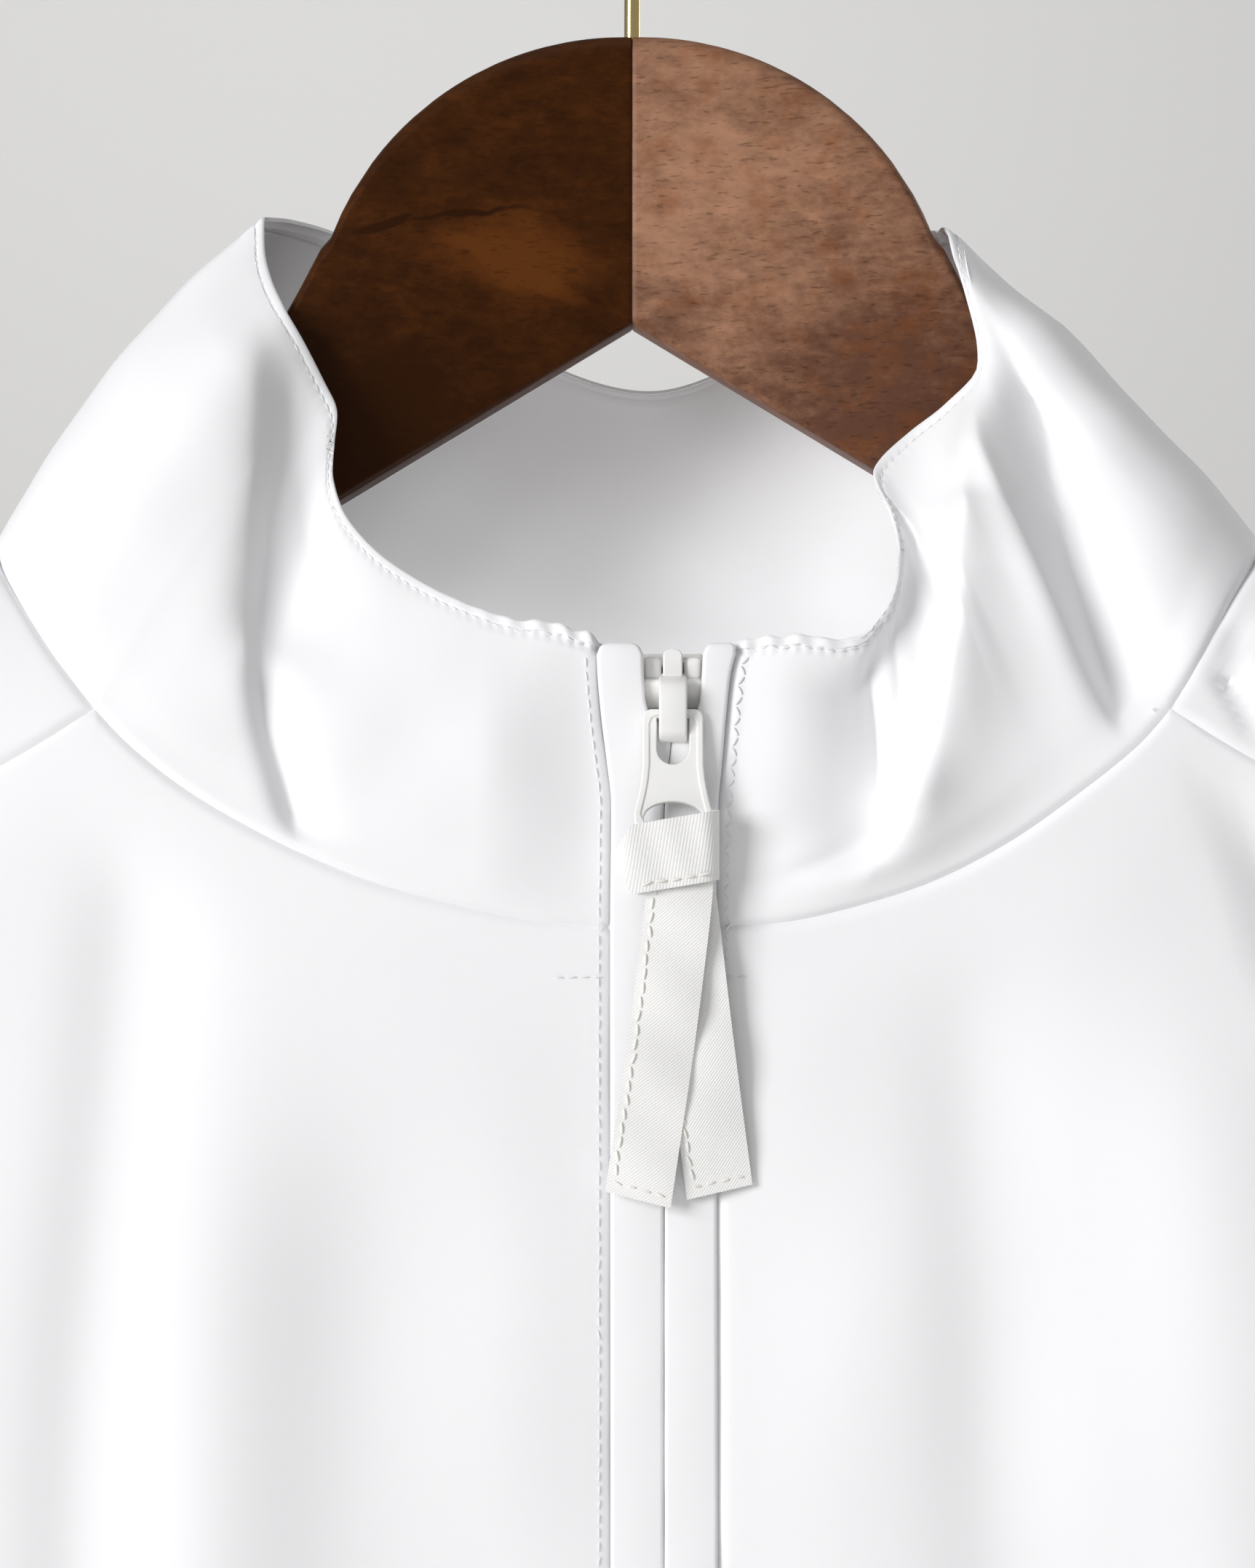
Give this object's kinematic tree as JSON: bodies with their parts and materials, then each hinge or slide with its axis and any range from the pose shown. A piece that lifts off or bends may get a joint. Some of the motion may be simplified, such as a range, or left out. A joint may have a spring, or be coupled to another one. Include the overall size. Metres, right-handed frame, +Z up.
{
  "type": "windshirt on a wooden hanger",
  "caption": "Full-zip windshirt with a wide funnel collar, hollow and open, hung on a mitred wooden hanger.",
  "frame": {"origin": "the inside top of the hanger's hook, where a rail carries it", "axes": "+Z up along the hook's stem; -Y the way the garment's front faces; +X to the right of a viewer who looks at the front"},
  "size_m": [0.824, 0.1105, 0.8846],
  "materials": {
    "cloth": "smooth white microfibre",
    "zip_tape": "woven white tape",
    "ribbon": "off-white twill weave",
    "zip_metal": "satin white paint",
    "wood_dark": "dark stained, satin varnish",
    "wood_light": "brown stained, satin varnish",
    "hook_brass": "polished"
  },
  "bodies": {
    "windshirt": {"hanger_left": "wood_dark", "hanger_right": "wood_light", "hanger_hook": "hook_brass", "front_left": "cloth", "front_right": "cloth", "back": "cloth", "collar": "cloth", "sleeve_left": "cloth", "sleeve_right": "cloth", "welt_left": "cloth", "welt_right": "cloth", "zip_tape_left": "zip_tape", "zip_tape_right": "zip_tape", "zip_slider": "zip_metal", "zip_bail": "zip_metal"},
    "tab": {"pull_tab": "zip_metal", "ribbon_knot": "ribbon", "ribbon_tail_front": "ribbon", "ribbon_tail_rear": "ribbon"}
  },
  "joints": [
    {"name": "tab_swing", "type": "hinge", "parent": "windshirt", "child": "tab", "pos_m": [0.0072, -0.0536, -0.2136], "axis": [-1, 0, 0], "range_deg": [0, 150]}
  ]
}
